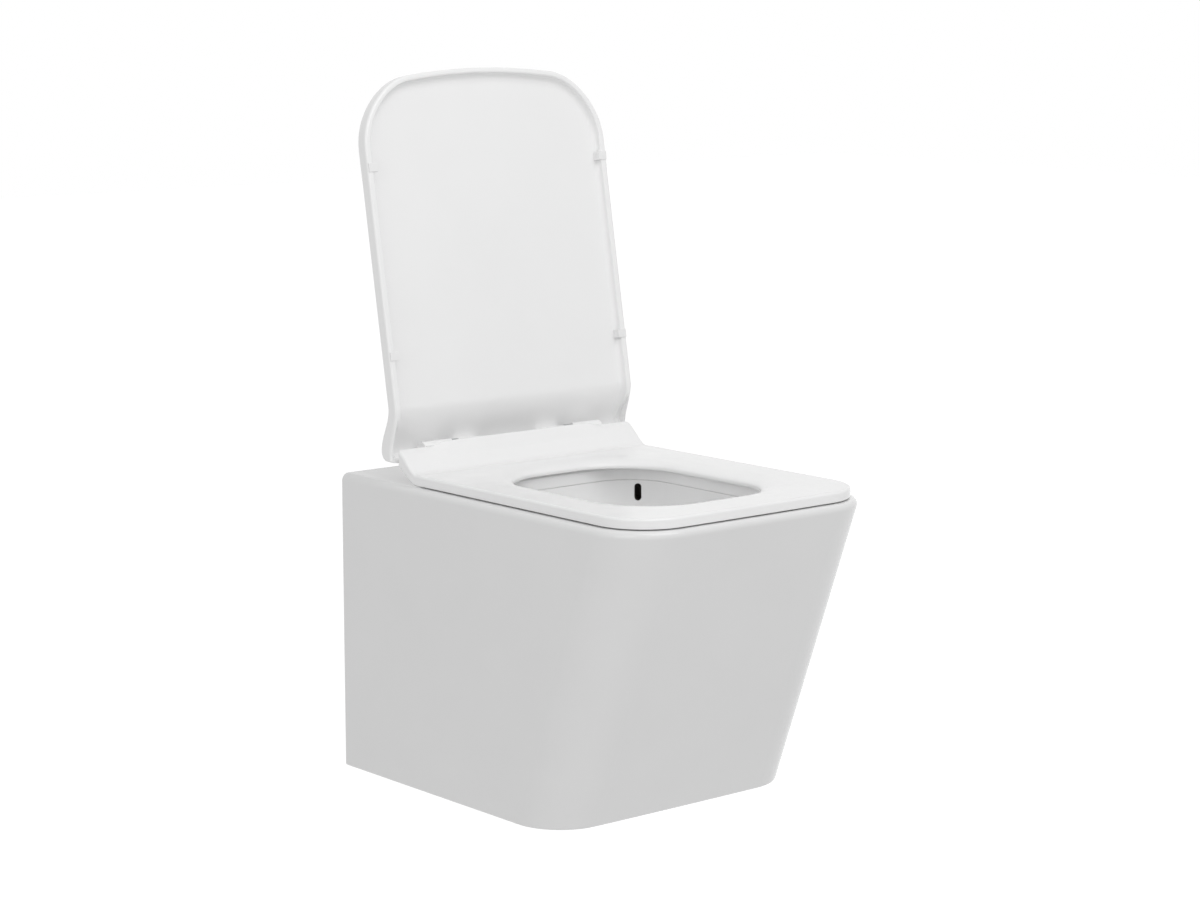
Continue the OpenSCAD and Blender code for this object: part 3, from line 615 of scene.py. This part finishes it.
# Brass turned from the bar: warm yellow and bright, with the fine unevenness that the tool leaves.
# Such marks are usually about 0.1 mm apart, and are drawn as 0.6 mm so that they show.
brass, tree, shader, place = new_material("turned_brass")
tree.links.new(mottle(tree, place, 0.008, "#BE9A54", "#CDAA62"), shader.inputs["Base Color"])
tree.links.new(mottle(tree, place, 0.002, 0.22, 0.34), shader.inputs["Roughness"])
tree.links.new(relief(tree, place, 0.0006, 0.00001), shader.inputs["Normal"])
shader.inputs["Metallic"].default_value = 1.0

eased("hinge_bases", 0.0005, chrome, "pan_body")
eased("hinge_post_left", 0.0006, chrome, "pan_body")
eased("hinge_post_right", 0.0006, chrome, "pan_body")
eased("hinge_grub_screws", 0.0002, zinc_plate, "pan_body")
eased("hinge_bolts", 0.0003, zinc_plate, "pan_body")
eased("expansion_bushes", 0.0008, rubber, "pan_body")
eased("expansion_nuts", 0.0004, brass, "pan_body")

# Pins and dampers
# A steel pin in each post carries one barrel on an acetal bush. On the other side the barrel turns
# the housing of an oil damper round its rotor, so that seat and lid close slowly.

# Acetal turned on a lathe: milky white with a low sheen.
acetal, tree, shader, place = new_material("turned_acetal")
tree.links.new(mottle(tree, place, 0.005, "#EDECE6", "#F3F2EE"), shader.inputs["Base Color"])
tree.links.new(mottle(tree, place, 0.002, 0.30, 0.42), shader.inputs["Roughness"])

# Glass filled nylon, injection moulded: dark grey and dull, clouded where the fibres surface.
nylon, tree, shader, place = new_material("glass_filled_nylon")
tree.links.new(mottle(tree, place, 0.003, "#4A4D50", "#5A5D60", 4.0), shader.inputs["Base Color"])
tree.links.new(mottle(tree, place, 0.002, 0.45, 0.60), shader.inputs["Roughness"])

inner_pieces = {"seat_pivot_pin": zinc_plate, "lid_pivot_pin": zinc_plate, "seat_bearing_bush": acetal,
                "lid_bearing_bush": acetal, "seat_damper_housing": nylon, "seat_damper_rotor": nylon,
                "lid_damper_housing": nylon, "lid_damper_rotor": nylon}
for node, material in inner_pieces.items():
    for worn in nodes[node].material_slots:
        worn.material = material

# Seat
# A ring of white urea moulding compound, pressed hot in a polished steel mould. Its rear climbs in
# a soft curve to the hinge, and its opening falls away in a wide round that no leg feels.
axis_y = hinge_y
axis_z = deck + 0.0335
seat_low, seat_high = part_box("seat_ring")
seat_half = seat_high.x
seat_z = seat_low.z
seat_thickness = 0.0115
seat_top = seat_z + seat_thickness
seat_front = -0.5065
seat_corner = 0.0605
seat_end = -0.096
seat_end_round = 0.003
end_share = 0.3
seat_slice = 0.002
climb_start = -0.131
climb_length = 0.039
seat_climb = axis_z + 0.0047 - seat_top
climb_thinning = 0.005
climb_delay = 0.004
opening_half = 0.1065
opening_back = -0.172
opening_front = -0.437
opening_round_back = 0.080
opening_round_front = 0.069
dish_width = 0.036
dish_depth = 0.0085
top_round = 0.003
low_round = 0.0012
fine = 0.0005  # how far a cut stays clear of an edge

# White urea moulding, pressed in a polished mould: brighter than the china and a little softer in
# its gloss, with the long slow waves of a thick moulding and fine pores over them.
urea, tree, shader, place = new_material("pressed_urea_moulding")
tree.links.new(mottle(tree, place, 0.120, "#F2F2F2", "#F6F6F6"), shader.inputs["Base Color"])
tree.links.new(mottle(tree, place, 0.050, 0.20, 0.27), shader.inputs["Roughness"])
press_flow = relief(tree, place, 0.035, 0.00005)
tree.links.new(relief(tree, place, 0.002, 0.000003, press_flow), shader.inputs["Normal"])
shader.inputs["IOR"].default_value = 1.5


def ease(share):
    """Smooth step from 0 to 1, level at both ends."""
    share = min(1, max(0, share))
    return share * share * (3 - 2 * share)


def cut_across(bm, start, end, step):
    """Cuts a mesh across at even distances along Y, so that it can bend there."""
    count = math.ceil((end - start) / step)
    for i in range(count + 1):
        spot = (0, start + (end - start) * i / count, 0)
        bmesh.ops.bisect_plane(bm, geom=whole(bm), plane_co=spot, plane_no=(0, 1, 0))


def seat_loop(bm, inset, height):
    """Outline of the seat, drawn in by a distance, and less so at its rear end."""
    return outline(bm, seat_half - inset, seat_end - inset * end_share, seat_front + inset,
                   seat_end_round - inset * end_share, seat_corner - inset, height, bow, arc=16, along=8)


def opening_loop(bm, out, height):
    """Outline of the seat's opening, grown by a distance."""
    return outline(bm, opening_half + out, opening_back + out, opening_front - out, opening_round_back + out,
                   opening_round_front + out, height, bow, arc=16, along=8)


bm = bmesh.new()
rim = [seat_loop(bm, low_round * (1 - s), seat_z + low_round * (1 - c)) for s, c in quarter(3)]
rim += [seat_loop(bm, top_round * (1 - c), seat_top - top_round * (1 - s)) for s, c in quarter(7)]
dish = [opening_loop(bm, low_round * (1 - s), seat_z + low_round * (1 - c)) for s, c in quarter(3)]
dish += [opening_loop(bm, dish_width * (1 - c), seat_top - dish_depth * (1 - s)) for s, c in quarter(9)]
loft(bm, rim, closed=False)
loft(bm, dish, closed=False)
for inner_edge, outer_edge in ((rim[0], dish[0]), (rim[-1], dish[-1])):
    bmesh.ops.triangle_fill(bm, edges=inner_edge + outer_edge, use_beauty=True)
cut_across(bm, climb_start, seat_end - fine, seat_slice)
for v in bm.verts:
    level = (v.co.z - seat_z) / seat_thickness
    below = (seat_climb - climb_thinning) * ease((v.co.y - climb_start) / (climb_length + climb_delay))
    above = seat_climb * ease((v.co.y - climb_start) / climb_length)
    v.co.z += below + (above - below) * level
seat = solid("seat", bm, urea)

# Barrels of the seat, one on each side, with a web that joins each to the seat's rear end
barrel_inner = 0.0896
barrel_outer = 0.131
barrel_length = barrel_outer - barrel_inner
seat_barrel = 0.008
seat_barrel_round = 0.0008
seat_bore = 0.00605
bore_floor = 0.003
bore_past = 0.001
web_inset = 0.0006
web_below = 0.005
web_above = 0.004


def across(x, y, z):
    """Placing matrix whose Z axis runs along the hinge, towards +X."""
    return Matrix.Translation((x, y, z)) @ Matrix.Rotation(math.pi / 2, 4, "Y")


barrels = []
for side in (-1, 1):
    start = barrel_inner if side > 0 else -barrel_outer
    barrels.append(rod("seat_barrel", seat_barrel, across(start, axis_y, axis_z), barrel_length, urea,
                       seat_barrel_round))
    bm = bmesh.new()
    block(bm, (start + web_inset, seat_end - overlap, axis_z - web_below),
          (start + barrel_length - web_inset, axis_y, axis_z + web_above))
    barrels.append(solid("barrel_web", bm, urea))

# Between the barrels the crest stands higher, as far as the lid's panel leaves room, and it fades
# out towards them
lid_gap = 0.0014
lid_thickness = 0.0165
panel_thickness = 0.0075
hump_z = axis_z + 0.0195
hump_y = axis_y - 0.0005
hump_run = 0.050
crest_start = seat_end - 0.016
crest_depth = 0.004
crest_fade = 0.030
crest_dip = 0.0003
crest_slice = 0.001
crest_cuts = 16


def skin_height(y):
    """Height of the closed lid's skin in front of its hump's top."""
    flat = seat_top + lid_gap + lid_thickness
    return flat + (hump_z - flat) * ease((y - hump_y + hump_run) / hump_run)


crest_top = skin_height(seat_end) - panel_thickness - lid_gap
crest_raise = crest_top - seat_top - seat_climb * ease((seat_end - climb_start) / climb_length)
bm = bmesh.new()
block(bm, (-barrel_outer, crest_start, seat_top - crest_depth), (barrel_outer, seat_end, seat_top))
end_edge = [e for e in bm.edges
            if all(v.co.z > seat_top - fine and v.co.y > seat_end - fine for v in e.verts)]
rounded(bm, end_edge, seat_end_round, 6)
cut_across(bm, crest_start + fine, seat_end - seat_end_round - fine, crest_slice)
for i in range(1, crest_cuts + 1):
    for side in (-1, 1):
        spot = (side * (barrel_outer - crest_fade * i / crest_cuts), 0, 0)
        bmesh.ops.bisect_plane(bm, geom=whole(bm), plane_co=spot, plane_no=(1, 0, 0))
for v in bm.verts:
    lift = seat_climb * ease((v.co.y - climb_start) / climb_length)
    if v.co.z > seat_top - crest_depth + fine:
        fade = ease((barrel_outer - abs(v.co.x)) / crest_fade)
        rise = ease((v.co.y - crest_start) / (seat_end - crest_start))
        lift += (crest_raise + crest_dip) * rise * fade - crest_dip
    v.co.z += lift
barrels.append(solid("middle_crest", bm, urea))
combine(seat, "UNION", *barrels)
bores = []
for side in (-1, 1):
    start = barrel_inner - bore_past if side > 0 else -barrel_outer + bore_floor
    bores.append(rod("barrel_bore", seat_bore, across(start, axis_y, axis_z),
                     barrel_length + bore_past - bore_floor, urea))
combine(seat, "DIFFERENCE", *bores)
finished(seat, "seat_body", "seat_ring")

# Seat buffers
# Four soft pads of thermoplastic elastomer, pressed into sockets under the seat. They rest on the
# glazed rim and keep the hard moulding off it.

# Injection moulded elastomer: white, dull and a little grained, so that it grips the glaze.
# Such a grain is usually about 0.2 mm, and is drawn as 0.8 mm so that it shows.
soft_rubber, tree, shader, place = new_material("moulded_white_elastomer")
tree.links.new(mottle(tree, place, 0.006, "#ECECEC", "#F2F2F2"), shader.inputs["Base Color"])
tree.links.new(mottle(tree, place, 0.003, 0.50, 0.62), shader.inputs["Roughness"])
tree.links.new(relief(tree, place, 0.0008, 0.00002), shader.inputs["Normal"])
eased("seat_buffers", 0.0006, soft_rubber, "seat_body")

# Lid
# Pressed from the same compound as the seat: a shallow tray with a narrow lip all round, turned up
# at the rear in a hump over the hinge that ends in a thin tail. Drawn closed, then swung open.
lip_z = seat_top + lid_gap
lid_top = lip_z + lid_thickness
lid_front = seat_front + 0.0095
lid_half = seat_half + 0.0035
lid_corner = 0.070
lid_bow = 0.018
lid_slice = 0.0025
lip_side = 0.008
lip_front = 0.006
lip_round = 0.003
skin_round = 0.004
rim_round_inside = 0.002
tray_depth = lid_thickness - panel_thickness
tray_level = tray_depth / lid_thickness
tray_short = 0.016
tray_corner = 0.012
tray_round = 0.006
bridge_step = 0.002
hump_round = 0.010
hump_arc = 75
hump_steps = 10
tail_y = axis_y + 0.013
tail_corner = 0.006
tail_drop = 0.0042
tail_thickness = 0.0038
tail_inside = tail_y - tail_thickness
cheek_start = axis_y - 0.050
cheek_run = 0.058
cheek_z = axis_z + 0.0006


def polyline_at(points, distance):
    """Point at a distance along a chain of points."""
    for a, b in zip(points, points[1:]):
        length = (b - a).length
        if distance <= length:
            return a + (b - a) * (distance / length)
        distance -= length
    return points[-1]


def chain_length(points):
    """Length of a chain of points."""
    return sum((b - a).length for a, b in zip(points, points[1:]))


# The skin's crest, an arc over the hinge and the straight tail; the lip's line runs inside it
turns = [math.radians(90 - hump_arc * i / hump_steps) for i in range(hump_steps + 1)]
crest = [Vector((hump_y + hump_round * math.cos(a), hump_z - hump_round + hump_round * math.sin(a)))
         for a in turns]
crest.append(Vector((tail_y, axis_z - tail_drop)))
cheek_end = Vector((cheek_start + cheek_run, cheek_z))
inner = [cheek_end, Vector((tail_inside, cheek_z)), Vector((tail_inside, axis_z - tail_drop))]
flat_end = hump_y + chain_length(crest)


def lid_bent(y, level):
    """Where a point of the flat lid goes: level 0 is the lip's line and 1 is the skin."""
    skin = Vector((y, skin_height(y))) if y <= hump_y else polyline_at(crest, y - hump_y)
    if y <= cheek_end.x:
        lip = Vector((y, lip_z + (cheek_z - lip_z) * ease((y - cheek_start) / cheek_run)))
    else:
        share = (y - cheek_end.x) / (flat_end - cheek_end.x)
        lip = polyline_at(inner, share * chain_length(inner))
    # The panel hangs its own thickness below the skin, or halfway to the lip where that is nearer
    ceiling = skin.lerp(lip, min(0.5, panel_thickness / (lip - skin).length))
    if level < tray_level:
        return lip.lerp(ceiling, level / tray_level)
    return ceiling.lerp(skin, (level - tray_level) / (1 - tray_level))


# The rim inside the lip is bridged a step above the lip and then set down level with it, because
# two loops at one level can be joined inside out
bm = bmesh.new()
loops = []
for narrower, shorter, height in ((0, 0, lid_top), (0, 0, lip_z), (lip_side, lip_front, lip_z + bridge_step),
                                  (lip_side, lip_front, lip_z + tray_depth)):
    back, back_round = (flat_end - tray_short, tray_corner) if narrower else (flat_end, tail_corner)
    loops.append(outline(bm, lid_half - narrower, back, lid_front + shorter, back_round,
                         lid_corner - (narrower + shorter) / 2, height, lid_bow, arc=20, along=16))
top_loop, lip_loop, rim_loop, tray_loop = loops
loft(bm, loops)
for v in {v for e in rim_loop for v in e.verts}:
    v.co.z = lip_z
rounded(bm, top_loop, skin_round, 6)
rounded(bm, lip_loop, lip_round, 6)
rounded(bm, rim_loop, rim_round_inside)
rounded(bm, tray_loop, tray_round, 6)
cut_across(bm, hump_y - hump_run, flat_end - fine, lid_slice)
for v in bm.verts:
    v.co.yz = lid_bent(v.co.y, (v.co.z - lip_z) / lid_thickness)
lid = solid("lid_tray", bm, urea)

# Between the cheeks, the lid's underside makes room for the seat's climb and the hinge
cheek_gap = 0.0004
room_half = seat_half + cheek_gap
room_z = hump_z - 0.012
room_drop = 0.020
room_slant = 0.0025
room_knee = 0.005
climb_shares = [i / 24 for i in range(25)]
room = [(climb_start, lip_z - room_drop)]
room += [(climb_start + climb_length * t, lip_z + (room_z - lip_z) * ease(t)) for t in climb_shares]
room += [(tail_inside - room_slant, room_z), (tail_inside, axis_z + room_knee)]
room += [(tail_inside, axis_z - room_drop)]
bm = bmesh.new()
side_face = bm.faces.new([bm.verts.new((-room_half, y, z)) for y, z in room])
made = bmesh.ops.extrude_face_region(bm, geom=[side_face])["geom"]
bmesh.ops.translate(bm, vec=(2 * room_half, 0, 0), verts=verts_among(made))
combine(lid, "DIFFERENCE", solid("seat_room", bm, urea))

# Barrels of the lid, one on each side, which hang from the hump on ears
lid_barrel = 0.0065
lid_barrel_round = 0.0006
lid_barrel_inner = 0.044
lid_barrel_outer = 0.0784
lid_barrel_length = lid_barrel_outer - lid_barrel_inner
ear_inset = 0.0004
ear_half = 0.005
ear_top = hump_z - 0.004
ears = []
for side in (-1, 1):
    start = lid_barrel_inner if side > 0 else -lid_barrel_outer
    ears.append(rod("lid_barrel", lid_barrel, across(start, axis_y, axis_z), lid_barrel_length, urea,
                    lid_barrel_round))
    bm = bmesh.new()
    block(bm, (start + ear_inset, axis_y - ear_half, axis_z),
          (start + lid_barrel_length - ear_inset, axis_y + ear_half, ear_top))
    ears.append(solid("ear", bm, urea))
combine(lid, "UNION", *ears)

# Notches clear the hinge posts, and lean so that the raised seat can carry the lid round them.
# They are drawn about the axis.
lid_bore = 0.00505
lid_open = 100
seat_opens = 98
half_turn = 180
notch_front = -0.00235
notch_rear = 0.058
notch_low = -0.020
notch_high = 0.100
lean = (Matrix.Translation((0, axis_y, axis_z))
        @ Matrix.Rotation(math.radians(lid_open + seat_opens - half_turn), 4, "X"))
cuts = []
for side in (-1, 1):
    start = lid_barrel_inner + bore_floor if side > 0 else -lid_barrel_outer - bore_past
    cuts.append(rod("lid_bore", lid_bore, across(start, axis_y, axis_z),
                    lid_barrel_length + bore_past - bore_floor, urea))
    near = lid_barrel_outer if side > 0 else -barrel_inner
    bm = bmesh.new()
    far = near + barrel_inner - lid_barrel_outer
    block(bm, (near, notch_front, notch_low), (far, notch_rear, notch_high))
    bmesh.ops.transform(bm, matrix=lean, verts=bm.verts)
    cuts.append(solid("notch", bm, urea))
combine(lid, "DIFFERENCE", *cuts)
swing = (Matrix.Translation((0, axis_y, axis_z)) @ Matrix.Rotation(math.radians(-lid_open), 4, "X")
         @ Matrix.Translation((0, -axis_y, -axis_z)))
lid.data.transform(swing)
finished(lid, "lid_body", "lid")

# Lid buffers
# Four small pads of the same elastomer, set across the lip. They keep the closed lid off the seat
# and take the last of its fall.
eased("lid_buffers", 0.0005, soft_rubber, "lid_body")

# Camera
# A long lens to the left of the pan and a little above its seat, level from side to side.
camera_place = (-2.1130, -2.7571, 0.6561)
camera_azimuth = math.radians(-40.08)
camera_elevation = math.radians(9.232)
camera_data = bpy.data.cameras.new("camera")
camera_data.sensor_fit = "HORIZONTAL"
camera_data.sensor_width = 36
camera_data.lens = 89.125
camera = bpy.data.objects.new("camera", camera_data)
bpy.context.scene.collection.objects.link(camera)
turn = Matrix.Rotation(camera_azimuth, 4, "Z") @ Matrix.Rotation(math.pi / 2 - camera_elevation, 4, "X")
camera.matrix_world = Matrix.Translation(camera_place) @ turn
bpy.context.scene.camera = camera

# Studio
# A pale floor far below the hung pan, three wide soft lamps and an even pale surround. Surround
# and floor show white to the eye, while they light the object at a plain level.
floor_drop = 1.9
floor_size = 60.0
floor_glow_seen = 0.62
floor_glow = 0.20
surround_seen = 1.0
surround_light = 0.51


def sees_white(tree):
    """1 for rays of the camera, of a mirror and through glass, and 0 for the rest."""
    rays = add(tree, "LightPath").outputs
    first = add(tree, "Math", {0: rays["Is Camera Ray"], 1: rays["Is Glossy Ray"]}, operation="MAXIMUM")
    both = add(tree, "Math", {0: first.outputs[0], 1: rays["Is Transmission Ray"]}, operation="MAXIMUM")
    return both.outputs[0]


# Uncoated paper off a wide roll: pale, matt and even.
paper, tree, shader, place = new_material("pale_studio_floor")
tree.links.new(mottle(tree, place, 0.4, "#E4E4E4", "#E8E8E8"), shader.inputs["Base Color"])
shader.inputs["Roughness"].default_value = 0.9
shader.inputs["Emission Color"].default_value = linear("#FFFFFF")
glow = add(tree, "MapRange", {"Value": sees_white(tree), "To Min": floor_glow, "To Max": floor_glow_seen})
tree.links.new(glow.outputs[0], shader.inputs["Emission Strength"])
bm = bmesh.new()
bmesh.ops.create_grid(bm, x_segments=1, y_segments=1, size=floor_size / 2,
                      matrix=Matrix.Translation((0, 0, underside - floor_drop)))
floor = solid("floor", bm, paper)

world = bpy.data.worlds.new("surround")
world.use_nodes = True
tree = world.node_tree
tree.nodes.clear()
level = add(tree, "MapRange", {"Value": sees_white(tree), "To Min": surround_light, "To Max": surround_seen})
surround = add(tree, "Background", {"Color": linear("#FFFFFF"), "Strength": level.outputs[0]})
add(tree, "OutputWorld", {"Surface": surround.outputs[0]})
bpy.context.scene.world = world


def lamp(name, spot, aim, size, power):
    """Square soft lamp that faces a point."""
    data = bpy.data.lights.new(name, "AREA")
    data.size = size
    data.energy = power
    made = bpy.data.objects.new(name, data)
    facing = (Vector(aim) - Vector(spot)).to_track_quat("-Z", "Y").to_matrix().to_4x4()
    made.matrix_world = Matrix.Translation(spot) @ facing
    bpy.context.scene.collection.objects.link(made)


lamp("overhead_lamp", spot=(0.0, -2.1, 2.5), aim=(0, -0.25, 0), size=2.4, power=37)
lamp("left_lamp", spot=(-2.6, -1.2, 1.2), aim=(0, -0.2, 0.1), size=1.8, power=11)
lamp("front_lamp", spot=(-0.9, -3.0, 0.9), aim=(0, -0.2, 0.1), size=1.8, power=1)

bpy.context.scene.view_settings.view_transform = "Standard"
